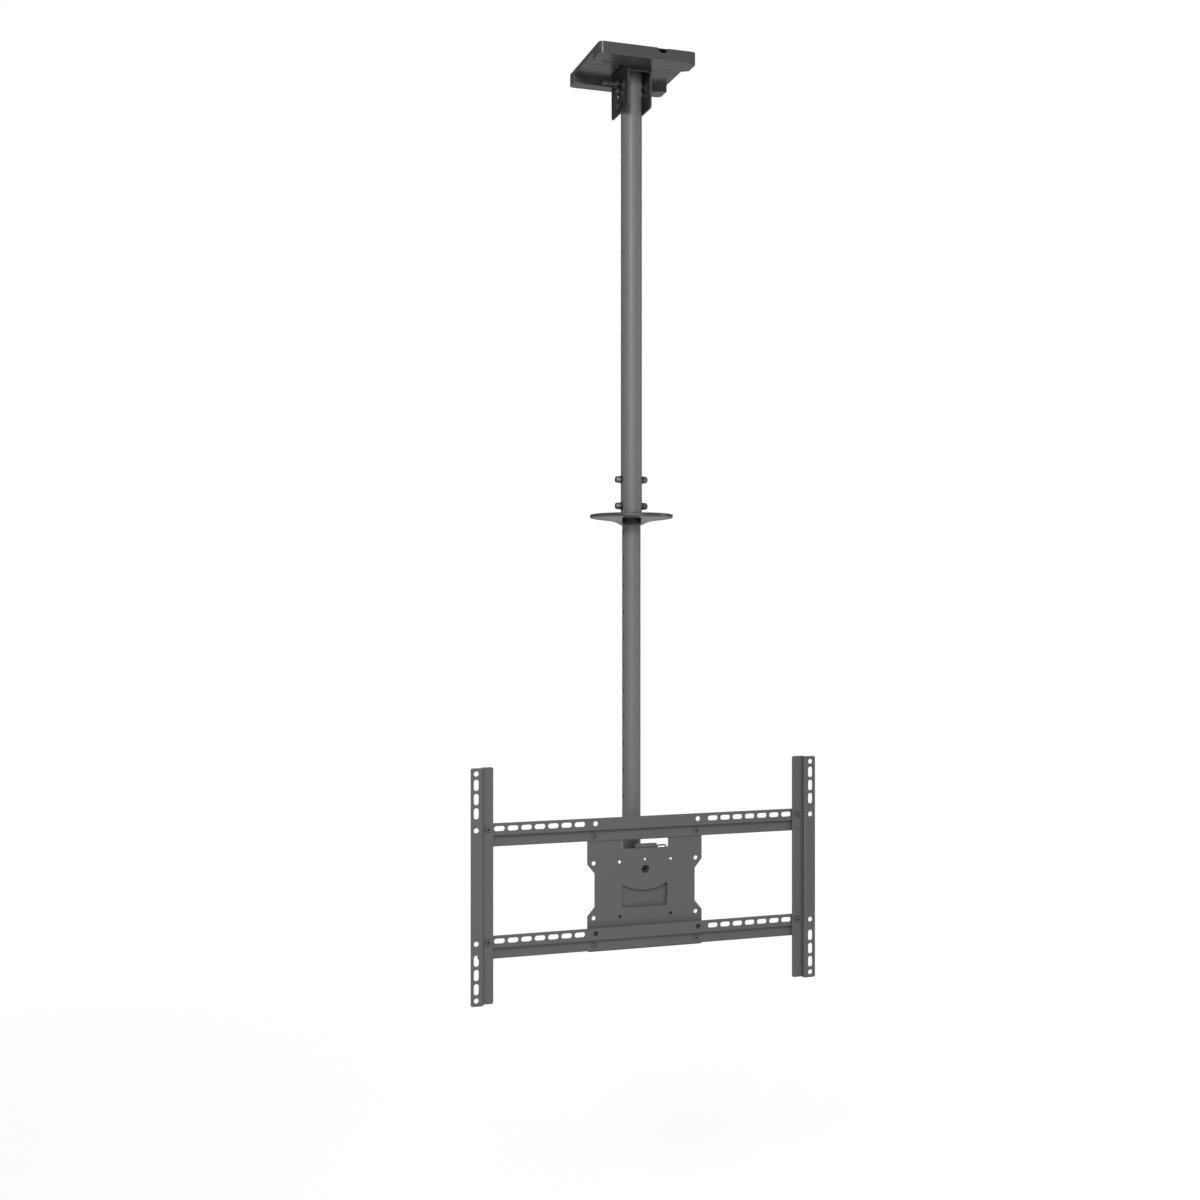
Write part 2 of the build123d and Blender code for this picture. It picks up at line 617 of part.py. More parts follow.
def rail_spots():
    """Places of the four screws between rails and panel."""
    rows = (MID_Z + ROW, MID_Z - ROW)
    return [(x, row - SCREW_DOWN) for x in (-VESA_X, VESA_X) for row in rows]


def rail_screws():
    y = RAIL_FRONT + RAIL_STEP
    screw = socket_bolt(RAIL_SCREW_R, 11.0, 4.5, 2.8, 3.0)
    return group([placed(screw, (x, y, z), (0, -1, 0)) for x, z in rail_spots()])


def rail_nuts():
    nut = hex_nut(RAIL_SCREW_R, 8.0, 4.5)
    return group([placed(nut, (x, PANEL_BACK, z), (0, 1, 0)) for x, z in rail_spots()])


def folded_arm(side):
    """Z section along Z with the hole column in its outer flange."""
    t = SHEET
    front = ARM_BACK - ARM_STEP - t
    points = [(ARM_IN, ARM_BACK), (ARM_IN, ARM_BACK - t), (ARM_FOLD, ARM_BACK - t), (ARM_FOLD, front),
              (ARM_OUT, front), (ARM_OUT, front + t), (ARM_FOLD + t, front + t), (ARM_FOLD + t, ARM_BACK)]
    sheet = make_face(Polyline(*points, close=True))
    outer = [v for v in sheet.vertices() if (abs(v.X - ARM_FOLD) < 0.1 and abs(v.Y - front) < 0.1)
             or (abs(v.X - ARM_FOLD - t) < 0.1 and abs(v.Y - ARM_BACK) < 0.1)]
    sheet = fillet(outer, 2.8)
    inner = [v for v in sheet.vertices() if (abs(v.X - ARM_FOLD) < 0.1 and abs(v.Y - ARM_BACK + t) < 0.1)
             or (abs(v.X - ARM_FOLD - t) < 0.1 and abs(v.Y - front - t) < 0.1)]
    sheet = fillet(inner, 0.8)
    arm = Pos(0, 0, MID_Z) * extrude(sheet, ARM_HALF, both=True)
    ends = [e for e in arm.edges().filter_by(Axis.Y) if abs(abs(e.center().Z - MID_Z) - ARM_HALF) < 0.1
            and (abs(e.center().X - ARM_IN) < 0.1 or abs(e.center().X - ARM_OUT) < 0.1)]
    arm = fillet(ends, ARM_CORNER)
    face = Plane((ARM_COLUMN, front + 5, MID_Z), x_dir=(1, 0, 0), z_dir=(0, -1, 0))
    last = ARM_HALF - ROW_IN
    holes = Pos(0, last) * Circle(SLOT_R) + Pos(0, -last) * Circle(SLOT_R)
    for way in (-1, 1):
        holes = holes + Pos(0, way * ROW) * Circle(SLOT_R)
        for k in (1.2, 2.2, 3.2):
            spot = Pos(0, way * (ROW + ARM_PITCH * k))
            holes = holes + spot * Rot(0, 0, 90) * SlotOverall(0.8 * ARM_PITCH, 2 * SLOT_R)
    arm = arm - extrude(face * holes, 12)
    for z in (ROW, -ROW):
        arm = arm - rod((ARM_SCREW_X, ARM_BACK - 6, MID_Z + z), (0, 1, 0), 3.0 + PLAY, 12)
        arm = arm - rod((ARM_FOLD - 3, ARM_BACK - t - 3.9, MID_Z + z), (1, 0, 0), 3.5, 10)
    if side < 0:
        arm = mirror(arm, Plane.YZ)
    return arm


def arm_screws(side):
    screw = socket_bolt(3.0, 11.0, 4.8, 4.0, 4.0)
    y = ARM_BACK - SHEET
    return group([placed(screw, (side * ARM_SCREW_X, y, MID_Z + z), (0, -1, 0)) for z in (ROW, -ROW)])


def arm_nuts(side):
    nut = hex_nut(3.0, 10.0, 5.0)
    y = RAIL_FRONT + SHEET + APART
    return group([placed(nut, (side * ARM_SCREW_X, y, MID_Z + z), (0, 1, 0)) for z in (ROW, -ROW)])


shell = cover_shell()
save(front_cover(shell), "front_cover")
save(rear_cover(shell), "rear_cover")
save(ceiling_plate(), "ceiling_plate")
save(yoke(), "yoke")
save(yoke_screws(), "yoke_screws")
save(yoke_nuts(), "yoke_nuts")
save(cross_bolt(PIVOT_Z, EAR_OUT + THREAD_OUT, HEAD_R, HEAD_H, 0.0), "pivot_bolt")
save(cross_nut(PIVOT_Z, NUT_ACROSS, NUT_HIGH, 0.0, 0.0), "pivot_nut")

save(outer_tube(), "outer_tube")
save(cross_bolt(PIVOT_Z + LEAN_R, EAR_OUT + THREAD_OUT, HEAD_R, HEAD_H, APART), "lean_bolt")
save(cross_nut(PIVOT_Z + LEAN_R, NUT_ACROSS, NUT_HIGH, APART, FLAT_UP), "lean_nut")
save(cross_bolt(PIVOT_Z + GUIDE_R, GUIDE_END, HEAD_R, HEAD_H, APART), "guide_bolt")
save(cross_nut(PIVOT_Z + GUIDE_R, GUIDE_NUT, GUIDE_NUT_HIGH, APART, FLAT_UP), "guide_nut")
save(height_bolts(), "height_bolts")
save(height_nuts(), "height_nuts")
save(height_washers(), "height_washers")
whole = tray_body()
save(tray(whole), "tray")
save(tray_bush(whole), "tray_bush")
save(tray_screw(), "tray_screw")

save(inner_tube(), "inner_tube")
save(tube_plug(), "tube_plug")
save(thrust_ring(), "thrust_ring")
save(ring_screw(), "ring_screw")

save(swivel_head(), "swivel_head")
save(swivel_screw(), "swivel_screw")
save(tilt_bolt(), "tilt_bolt")
save(tilt_knob(), "tilt_knob")

save(tilt_bracket(), "tilt_bracket")
save(vesa_plate(), "vesa_plate")
save(centre_bolt(), "centre_bolt")
save(centre_nut(), "centre_nut")
save(cable_ring(), "cable_ring")
save(folded_rail(MID_Z + ROW), "top_rail")
save(folded_rail(MID_Z - ROW), "bottom_rail")
save(rail_screws(), "rail_screws")
save(rail_nuts(), "rail_nuts")

for side, name in ((-1, "left_arm"), (1, "right_arm")):
    save(folded_arm(side), name)
    save(arm_screws(side), name + "_screws")
    save(arm_nuts(side), name + "_nuts")
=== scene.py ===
import math

import bmesh
import bpy
from mathutils import Matrix, Vector


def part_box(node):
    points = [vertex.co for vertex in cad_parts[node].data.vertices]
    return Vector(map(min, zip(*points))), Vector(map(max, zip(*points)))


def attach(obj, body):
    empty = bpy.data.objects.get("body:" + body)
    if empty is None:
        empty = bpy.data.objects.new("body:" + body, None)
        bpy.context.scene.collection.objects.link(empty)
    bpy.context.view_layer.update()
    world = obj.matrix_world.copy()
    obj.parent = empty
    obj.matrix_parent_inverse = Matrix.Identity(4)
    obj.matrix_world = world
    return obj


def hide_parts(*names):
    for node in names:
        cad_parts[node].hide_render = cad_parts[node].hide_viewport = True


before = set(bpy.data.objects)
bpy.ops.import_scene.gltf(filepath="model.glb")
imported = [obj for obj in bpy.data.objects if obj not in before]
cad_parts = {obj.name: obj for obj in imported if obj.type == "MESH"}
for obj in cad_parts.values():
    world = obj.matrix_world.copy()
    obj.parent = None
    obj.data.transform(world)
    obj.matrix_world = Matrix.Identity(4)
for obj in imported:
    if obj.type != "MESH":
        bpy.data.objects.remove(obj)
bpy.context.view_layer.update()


# Ceiling plate. The real one is 3 mm steel, punched with anchor holes and coated black.
# It sits against the ceiling and is seen only through the gaps of the cover.
def new_group(name, inputs, outputs):
    """An empty shader node group with named sockets and its two end nodes."""
    group = bpy.data.node_groups.new(name, "ShaderNodeTree")
    for label, kind, value in inputs:
        socket = group.interface.new_socket(label, in_out="INPUT", socket_type=kind)
        socket.default_value = value
    for label, kind in outputs:
        group.interface.new_socket(label, in_out="OUTPUT", socket_type=kind)
    return group, group.nodes.new("NodeGroupInput"), group.nodes.new("NodeGroupOutput")


def coat_group():
    """Powder coat: fine orange peel, cloudy colour, edges lightened as wear and painted highlight, and
    creases darkened with painted shade.
    """
    group, source, result = new_group(
        "powder coat skin",
        [("Color", "NodeSocketColor", (0.1, 0.1, 0.1, 1)), ("Grain Size", "NodeSocketFloat", 1400.0),
         ("Grain Depth", "NodeSocketFloat", 0.25), ("Cloud", "NodeSocketFloat", 0.10),
         ("Roughness", "NodeSocketFloat", 0.5), ("Edge Width", "NodeSocketFloat", 0.0008),
         ("Edge Light", "NodeSocketFloat", 0.15), ("Crevice", "NodeSocketFloat", 0.0)],
        [("Color", "NodeSocketColor"), ("Roughness", "NodeSocketFloat"), ("Normal", "NodeSocketVector")])
    nodes, links = group.nodes, group.links
    place = nodes.new("ShaderNodeTexCoord")
    cloud = nodes.new("ShaderNodeTexNoise")
    cloud.inputs["Scale"].default_value = 14.0
    cloud.inputs["Detail"].default_value = 4.0
    links.new(place.outputs["Object"], cloud.inputs["Vector"])
    peel = nodes.new("ShaderNodeTexNoise")
    peel.inputs["Detail"].default_value = 2.0
    links.new(place.outputs["Object"], peel.inputs["Vector"])
    links.new(source.outputs["Grain Size"], peel.inputs["Scale"])
    shade = nodes.new("ShaderNodeMath")
    shade.operation = "SUBTRACT"
    shade.inputs[1].default_value = 0.5
    links.new(cloud.outputs["Fac"], shade.inputs[0])
    sway = nodes.new("ShaderNodeMath")
    sway.operation = "MULTIPLY_ADD"
    sway.inputs[2].default_value = 1.0
    links.new(shade.outputs[0], sway.inputs[0])
    links.new(source.outputs["Cloud"], sway.inputs[1])
    tint = nodes.new("ShaderNodeVectorMath")
    tint.operation = "SCALE"
    links.new(source.outputs["Color"], tint.inputs[0])
    links.new(sway.outputs[0], tint.inputs["Scale"])
    round_edge = nodes.new("ShaderNodeBevel")
    round_edge.samples = 6
    links.new(source.outputs["Edge Width"], round_edge.inputs["Radius"])
    flat = nodes.new("ShaderNodeNewGeometry")
    meet = nodes.new("ShaderNodeVectorMath")
    meet.operation = "DOT_PRODUCT"
    links.new(round_edge.outputs["Normal"], meet.inputs[0])
    links.new(flat.outputs["True Normal"], meet.inputs[1])
    edge = nodes.new("ShaderNodeMapRange")
    edge.inputs["From Min"].default_value = 0.995
    edge.inputs["From Max"].default_value = 0.93
    links.new(meet.outputs["Value"], edge.inputs["Value"])
    edge_mix = nodes.new("ShaderNodeMath")
    edge_mix.operation = "MULTIPLY"
    links.new(edge.outputs["Result"], edge_mix.inputs[0])
    links.new(source.outputs["Edge Light"], edge_mix.inputs[1])
    # Pale edges: partly worn coat, partly painted highlight.
    worn_and_highlit_edge = nodes.new("ShaderNodeMix")
    worn_and_highlit_edge.data_type = "RGBA"
    worn_and_highlit_edge.inputs["B"].default_value = (0.42, 0.42, 0.43, 1)
    links.new(edge_mix.outputs[0], worn_and_highlit_edge.inputs["Factor"])
    links.new(tint.outputs["Vector"], worn_and_highlit_edge.inputs["A"])
    # Painted shade: ambient occlusion darkens creases, folds and joins toward near black.
    corner = nodes.new("ShaderNodeAmbientOcclusion")
    corner.samples = 6
    corner.inputs["Distance"].default_value = 0.005
    painted_shade_ramp = nodes.new("ShaderNodeMapRange")
    painted_shade_ramp.inputs["From Min"].default_value = 0.85
    painted_shade_ramp.inputs["From Max"].default_value = 0.35
    links.new(corner.outputs["AO"], painted_shade_ramp.inputs["Value"])
    depth = nodes.new("ShaderNodeMath")
    depth.operation = "MULTIPLY"
    links.new(painted_shade_ramp.outputs["Result"], depth.inputs[0])
    links.new(source.outputs["Crevice"], depth.inputs[1])
    painted_shade_mix = nodes.new("ShaderNodeMix")
    painted_shade_mix.data_type = "RGBA"
    painted_shade_mix.inputs["B"].default_value = (0.012, 0.012, 0.012, 1)
    links.new(depth.outputs[0], painted_shade_mix.inputs["Factor"])
    links.new(worn_and_highlit_edge.outputs["Result"], painted_shade_mix.inputs["A"])
    links.new(painted_shade_mix.outputs["Result"], result.inputs["Color"])
    rough = nodes.new("ShaderNodeMath")
    rough.operation = "MULTIPLY_ADD"
    rough.inputs[1].default_value = 0.16
    links.new(shade.outputs[0], rough.inputs[0])
    links.new(source.outputs["Roughness"], rough.inputs[2])
    links.new(rough.outputs[0], result.inputs["Roughness"])
    bump = nodes.new("ShaderNodeBump")
    bump.inputs["Distance"].default_value = 0.0002
    links.new(source.outputs["Grain Depth"], bump.inputs["Strength"])
    links.new(peel.outputs["Fac"], bump.inputs["Height"])
    links.new(round_edge.outputs["Normal"], bump.inputs["Normal"])
    links.new(bump.outputs["Normal"], result.inputs["Normal"])
    return group


COAT = coat_group()


def coat(name, color, metallic=0.0, specular=0.4, **values):
    """A material whose skin is the coat group, set by the words of its sockets."""
    material = bpy.data.materials.new(name)
    material.use_nodes = True
    nodes, links = material.node_tree.nodes, material.node_tree.links
    shader = nodes["Principled BSDF"]
    shader.inputs["Metallic"].default_value = metallic
    shader.inputs["Specular IOR Level"].default_value = specular
    skin = nodes.new("ShaderNodeGroup")
    skin.node_tree = COAT
    skin.inputs["Color"].default_value = (*color, 1)
    for label, value in values.items():
        skin.inputs[label.replace("_", " ").title()].default_value = value
    links.new(skin.outputs["Color"], shader.inputs["Base Color"])
    links.new(skin.outputs["Roughness"], shader.inputs["Roughness"])
    links.new(skin.outputs["Normal"], shader.inputs["Normal"])
    return material


def dress(material, *names):
    """Give CAD nodes their finish."""
    for name in names:
        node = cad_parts[name]
        node.data.materials.clear()
        node.data.materials.append(material)


black_coat = coat("black powder coat", (0.012, 0.012, 0.0125), roughness=0.46, specular=0.30,
                  grain_size=1100.0, edge_width=0.0007, edge_light=0.12)
dress(black_coat, "ceiling_plate")


# Covers. Two moulded plastic halves clip over the plate and hide the anchors. They are
# dark grey with a satin gloss; the front one has the half-round cable notch.
cover_grain = coat("cover plastic", (0.068, 0.068, 0.070), roughness=0.28, specular=0.45,
                   grain_size=1900.0, grain_depth=0.10, cloud=0.05, edge_width=0.0014, edge_light=0.06)
dress(cover_grain, "front_cover", "rear_cover")


# Yoke. Folded black steel bracket whose two ears hold the pole; curved slots let it lean.
# It is screwed under the ceiling plate with four countersunk screws and nuts.
def zinc_group():
    """Zinc plating: blotchy spangle, fine turning marks and edges lightened as rubbed zinc and painted
    highlight.
    """
    group, source, result = new_group(
        "zinc skin",
        [("Color", "NodeSocketColor", (0.1, 0.1, 0.1, 1)), ("Blotch", "NodeSocketFloat", 0.25),
         ("Roughness", "NodeSocketFloat", 0.35), ("Marks", "NodeSocketFloat", 0.2),
         ("Edge Light", "NodeSocketFloat", 0.3)],
        [("Color", "NodeSocketColor"), ("Roughness", "NodeSocketFloat"), ("Normal", "NodeSocketVector")])
    nodes, links = group.nodes, group.links
    place = nodes.new("ShaderNodeTexCoord")
    spangle = nodes.new("ShaderNodeTexVoronoi")
    spangle.inputs["Scale"].default_value = 700.0
    links.new(place.outputs["Object"], spangle.inputs["Vector"])
    cloud = nodes.new("ShaderNodeTexNoise")
    cloud.inputs["Scale"].default_value = 160.0
    cloud.inputs["Detail"].default_value = 3.0
    links.new(place.outputs["Object"], cloud.inputs["Vector"])
    both = nodes.new("ShaderNodeMath")
    both.operation = "ADD"
    links.new(spangle.outputs["Distance"], both.inputs[0])
    links.new(cloud.outputs["Fac"], both.inputs[1])
    sway = nodes.new("ShaderNodeMapRange")
    sway.inputs["From Min"].default_value = 0.5
    sway.inputs["From Max"].default_value = 1.3
    sway.inputs["To Min"].default_value = -1.0
    sway.inputs["To Max"].default_value = 1.0
    links.new(both.outputs[0], sway.inputs["Value"])
    scale = nodes.new("ShaderNodeMath")
    scale.operation = "MULTIPLY_ADD"
    scale.inputs[2].default_value = 1.0
    links.new(sway.outputs["Result"], scale.inputs[0])
    links.new(source.outputs["Blotch"], scale.inputs[1])
    tint = nodes.new("ShaderNodeVectorMath")
    tint.operation = "SCALE"
    links.new(source.outputs["Color"], tint.inputs[0])
    links.new(scale.outputs[0], tint.inputs["Scale"])
    round_edge = nodes.new("ShaderNodeBevel")
    round_edge.samples = 6
    round_edge.inputs["Radius"].default_value = 0.0004
    flat = nodes.new("ShaderNodeNewGeometry")
    meet = nodes.new("ShaderNodeVectorMath")
    meet.operation = "DOT_PRODUCT"
    links.new(round_edge.outputs["Normal"], meet.inputs[0])
    links.new(flat.outputs["True Normal"], meet.inputs[1])
    edge = nodes.new("ShaderNodeMapRange")
    edge.inputs["From Min"].default_value = 0.99
    edge.inputs["From Max"].default_value = 0.90
    links.new(meet.outputs["Value"], edge.inputs["Value"])
    rub_and_highlight_amount = nodes.new("ShaderNodeMath")
    rub_and_highlight_amount.operation = "MULTIPLY"
    links.new(edge.outputs["Result"], rub_and_highlight_amount.inputs[0])
    links.new(source.outputs["Edge Light"], rub_and_highlight_amount.inputs[1])
    # Pale edges: partly rubbed zinc, partly painted highlight.
    rubbed_and_highlit_edge = nodes.new("ShaderNodeMix")
    rubbed_and_highlit_edge.data_type = "RGBA"
    rubbed_and_highlit_edge.inputs["B"].default_value = (0.45, 0.45, 0.46, 1)
    links.new(rub_and_highlight_amount.outputs[0], rubbed_and_highlit_edge.inputs["Factor"])
    links.new(tint.outputs["Vector"], rubbed_and_highlit_edge.inputs["A"])
    links.new(rubbed_and_highlit_edge.outputs["Result"], result.inputs["Color"])
    rough = nodes.new("ShaderNodeMath")
    rough.operation = "MULTIPLY_ADD"
    rough.inputs[1].default_value = 0.07
    links.new(sway.outputs["Result"], rough.inputs[0])
    links.new(source.outputs["Roughness"], rough.inputs[2])
    links.new(rough.outputs[0], result.inputs["Roughness"])
    marks = nodes.new("ShaderNodeTexNoise")
    marks.inputs["Scale"].default_value = 3200.0
    links.new(place.outputs["Object"], marks.inputs["Vector"])
    bump = nodes.new("ShaderNodeBump")
    bump.inputs["Distance"].default_value = 0.00008
    links.new(source.outputs["Marks"], bump.inputs["Strength"])
    links.new(marks.outputs["Fac"], bump.inputs["Height"])
    links.new(round_edge.outputs["Normal"], bump.inputs["Normal"])
    links.new(bump.outputs["Normal"], result.inputs["Normal"])
    return group


ZINC = zinc_group()


def zinc(name, color, metallic=0.8, **values):
    """A plated material whose skin is the zinc group."""
    material = bpy.data.materials.new(name)
    material.use_nodes = True
    nodes, links = material.node_tree.nodes, material.node_tree.links
    shader = nodes["Principled BSDF"]
    shader.inputs["Metallic"].default_value = metallic
    skin = nodes.new("ShaderNodeGroup")
    skin.node_tree = ZINC
    skin.inputs["Color"].default_value = (*color, 1)
    for label, value in values.items():
        skin.inputs[label.replace("_", " ").title()].default_value = value
    links.new(skin.outputs["Color"], shader.inputs["Base Color"])
    links.new(skin.outputs["Roughness"], shader.inputs["Roughness"])
    links.new(skin.outputs["Normal"], shader.inputs["Normal"])
    return material


ROUND = 84
LOBES = 7


def turned(rings, bore=False, phase=0.0):
    """Closed shape around Z from (form, size, height) rings; a bore joins the last ring to the first."""
    shape = bmesh.new()
    first = last = None
    for form, size, height in rings:
        before = set(shape.edges)
        if form == "six":
            turn = Matrix.Rotation(phase, 4, "Z")
            bmesh.ops.create_circle(shape, segments=6, radius=size / math.sqrt(3), matrix=turn)
            side = [e for e in shape.edges if e not in before]
            bmesh.ops.subdivide_edges(shape, edges=side, cuts=ROUND // 6 - 1)
        else:
            bmesh.ops.create_circle(shape, segments=ROUND, radius=size)
        ring = [e for e in shape.edges if e not in before]
        corners = list({v for e in ring for v in e.verts})
        if form == "lobe":
            for corner in corners:
                angle = math.atan2(corner.co.y, corner.co.x) - phase
                swell = (0.5 + 0.5 * math.cos(LOBES * angle)) ** 0.7
                corner.co *= 0.83 + 0.17 * swell
        bmesh.ops.translate(shape, vec=(0, 0, height), verts=corners)
        if last:
            bmesh.ops.bridge_loops(shape, edges=last + ring)
        elif not bore:
            bmesh.ops.edgeloop_fill(shape, edges=ring)
        first = first or ring
        last = ring
    if bore:
        bmesh.ops.bridge_loops(shape, edges=last + first)
    else:
        bmesh.ops.edgeloop_fill(shape, edges=last)
    bmesh.ops.recalc_face_normals(shape, faces=shape.faces)
    return shape


def thread(radius, pitch, low, high):
    """Screw thread around Z between two heights, closed at both ends."""
    shape = bmesh.new()
    turns = int((high - low) / pitch) + 3
    start = low - 1.5 * pitch
    root = radius - 0.6 * pitch
    corners = [(root, 0.0), (root, 0.12), (radius, 0.44), (radius, 0.56), (root, 0.88), (root, 1.0)]
    points = [shape.verts.new((r, 0, start + share * pitch)) for r, share in corners]
    lines = [shape.edges.new(pair) for pair in zip(points, points[1:])]
    bmesh.ops.spin(shape, geom=points + lines, cent=(0, 0, 0), axis=(0, 0, 1), dvec=(0, 0, pitch / 24),
                   angle=2 * math.pi * turns, steps=turns * 24, use_merge=False, use_duplicate=False)
    bmesh.ops.remove_doubles(shape, verts=shape.verts, dist=pitch * 0.02)
    for height, up in ((low, -1), (high, 1)):
        whole = shape.verts[:] + shape.edges[:] + shape.faces[:]
        cut = bmesh.ops.bisect_plane(shape, geom=whole, dist=pitch * 0.001, plane_co=(0, 0, height),
                                     plane_no=(0, 0, up), clear_outer=True)
        rim = [e for e in cut["geom_cut"] if isinstance(e, bmesh.types.BMEdge)]
        bmesh.ops.contextual_create(shape, geom=rim)
    bmesh.ops.recalc_face_normals(shape, faces=shape.faces)
    return shape


def seats(node, way, half):
    """Where like fasteners of one node start: the corners of its box, at the end that way points to."""
    low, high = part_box(node)
    spots = [[]]
    for axis in range(3):
        if abs(way[axis]) > 0.5:
            ends = [high[axis] if way[axis] > 0 else low[axis]]
        elif high[axis] - low[axis] > 2 * half + 0.002:
            ends = [low[axis] + half, high[axis] - half]
        else:
            ends = [(low[axis] + high[axis]) / 2]
        spots = [spot + [end] for spot in spots for end in ends]
    return [Vector(spot) for spot in spots]


def reach(node, way):
    """Lowest and highest place of a node along an axis direction."""
    ends = [Vector(corner).dot(Vector(way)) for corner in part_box(node)]
    return min(ends), max(ends)


def stood(shape, spot, way):
    """Turn a shape made along Z to way and put it on spot."""
    turn = Vector((0, 0, 1)).rotation_difference(Vector(way)).to_matrix().to_4x4()
    bmesh.ops.transform(shape, matrix=Matrix.Translation(spot) @ turn, verts=shape.verts)
    return shape


def piece(name, shapes, material, body):
    """One object from closed shapes, shaded smooth between its sharp edges."""
    whole = bmesh.new()
    for shape in shapes:
        data = bpy.data.meshes.new("shape")
        shape.to_mesh(data)
        shape.free()
        whole.from_mesh(data)
        bpy.data.meshes.remove(data)
    for face in whole.faces:
        face.smooth = True
    for edge in whole.edges:
        edge.smooth = edge.calc_face_angle(0.0) < 0.6
    data = bpy.data.meshes.new(name)
    whole.to_mesh(data)
    whole.free()
    data.materials.append(material)
    made = bpy.data.objects.new(name, data)
    bpy.context.scene.collection.objects.link(made)
    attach(made, body)
    return made


def cap_screw(r, long, head_r, head_h, key, pitch, threaded):
    """Socket screw: round head from z 0 down, then a plain and a threaded shank."""
    soft = 0.12 * head_h
    head = turned([
        ("six", key, -0.6 * head_h), ("six", key, -0.03 * head_h), ("round", 0.62 * key, 0),
        ("round", head_r - 1.6 * soft, 0), ("round", head_r - 0.5 * soft, -0.4 * soft),
        ("round", head_r, -1.4 * soft), ("round", head_r, -head_h + 0.5 * soft),
        ("round", head_r - 0.5 * soft, -head_h), ("round", r, -head_h),
        ("round", r, -head_h - long + threaded), ("round", r - 0.55 * pitch, -head_h - long + threaded)])
    turns = thread(r, pitch, -head_h - long + 0.4 * pitch, -head_h - long + threaded + pitch)
    tip = turned([("round", r - 0.58 * pitch, -head_h - long + threaded),
                  ("round", r - 0.58 * pitch, -head_h - long + 0.3 * pitch),
                  ("round", r - 0.9 * pitch, -head_h - long)])
    return [head, turns, tip]


def nut(r, across, high, phase=0.0):
    """Hexagon nut with both faces chamfered, standing on z 0."""
    rim = 0.475 * across
    soft = 0.09 * high
    return [turned([("round", r, 2 * soft), ("round", r + soft, 0), ("round", rim, 0),
                    ("six", across, 1.6 * soft), ("six", across, high - 1.6 * soft),
                    ("round", rim, high), ("round", r + soft, high), ("round", r, high - 2 * soft)],
                   bore=True, phase=phase)]


def screws(node, way, r, head_r, head_h, key, pitch, threaded, material, body):
    """Detailed socket screws in place of a node's plain ones."""
    low, high = reach(node, way)
    shapes = []
    for spot in seats(node, way, head_r):
        made = cap_screw(r, high - low - head_h, head_r, head_h, key, pitch, threaded)
        shapes += [stood(shape, spot, way) for shape in made]
    whole = piece(node + "_detail", shapes, material, body)
    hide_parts(node)
    return whole


def nuts(node, screw_node, way, head_r, r, across, phase, material, body):
    """Detailed nuts on the axes of their screws; way points from the sheet to the screw's end."""
    low, high = reach(node, way)
    shapes = []
    for spot in seats(screw_node, way, head_r):
        foot = spot + Vector(way) * (low - spot.dot(Vector(way)))
        shapes += [stood(shape, foot, way) for shape in nut(r, across, high - low, phase)]
    whole = piece(node + "_detail", shapes, material, body)
    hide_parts(node)
    return whole


# The yoke's wide pale edges are partly wear and partly painted highlight.
yoke_coat = coat("yoke coat", (0.026, 0.026, 0.027), roughness=0.40, specular=0.34,
                 grain_size=1100.0, edge_width=0.0013, edge_light=0.50)
dress(yoke_coat, "yoke")
# The black zinc's pale edges are partly rubbed metal and partly painted highlight.
black_zinc = zinc("black zinc", (0.040, 0.040, 0.041), metallic=0.5, roughness=0.32, blotch=0.18,
                  marks=0.15, edge_light=0.35)
dress(black_zinc, "yoke_screws", "yoke_nuts")
RIGHT, LEFT = (1, 0, 0), (-1, 0, 0)
FRONT, BACK = (0, -1, 0), (0, 1, 0)
M8, M8_BORE, M8_PITCH, M8_HEAD = 0.004, 0.00405, 0.00125, 0.0065
FLAT_UP, CORNER_UP = math.pi / 6, 0.0
for node, nut_node, across, body, threaded, phase in (
        ("pivot_bolt", "pivot_nut", 0.013, "ceiling", 0.012, CORNER_UP),
        ("lean_bolt", "lean_nut", 0.013, "pole", 0.012, FLAT_UP),
        ("guide_bolt", "guide_nut", 0.016, "pole", 0.036, FLAT_UP)):
    screws(node, RIGHT, M8, M8_HEAD, 0.0045, 0.005, M8_PITCH, threaded, black_zinc, body)
    nuts(nut_node, node, LEFT, M8_HEAD, M8_BORE, across, phase, black_zinc, body)


# Pole. Two drawn steel tubes in dark grey powder coat, the lower one punched every 50 mm.
# Two cross bolts with saddle washers and cap nuts pin them together.
pole_coat = coat("pole coat", (0.150, 0.151, 0.155), roughness=0.47, specular=0.45,
                 grain_size=1500.0, grain_depth=0.14, cloud=0.06, edge_width=0.0006, edge_light=0.05)
dress(pole_coat, "outer_tube", "inner_tube")
grey_zinc = zinc("grey zinc", (0.20, 0.20, 0.205), metallic=0.75, roughness=0.36, blotch=0.2,
                 marks=0.15, edge_light=0.3)
screws("height_bolts", LEFT, M8, 0.0063, 0.009, 0.006, M8_PITCH, 0.010, grey_zinc, "pole")
CAP_ACROSS, CAP_FOOT, CAP_TOP = 0.0126, 0.0062, 0.0098
dome = [("round", 0.5 * CAP_ACROSS * math.cos(step), CAP_FOOT + (CAP_TOP - CAP_FOOT) * math.sin(step))
        for step in (0.25, 0.5, 0.75, 1.0, 1.2, 1.35, 1.48)]
caps = []
for spot in seats("height_bolts", RIGHT, 0.0063):
    foot = Vector((reach("height_nuts", RIGHT)[0], spot.y, spot.z))
    cap = turned([("round", 0.475 * CAP_ACROSS, 0), ("six", CAP_ACROSS, 0.0005),
                  ("six", CAP_ACROSS, CAP_FOOT - 0.0007), ("round", 0.49 * CAP_ACROSS, CAP_FOOT)] + dome)
    caps.append(stood(cap, foot, RIGHT))
cap_nuts = piece("height_nuts_detail", caps, grey_zinc, "pole")
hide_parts("height_nuts")
dress(black_zinc, "height_washers", "tray_screw", "ring_screw")


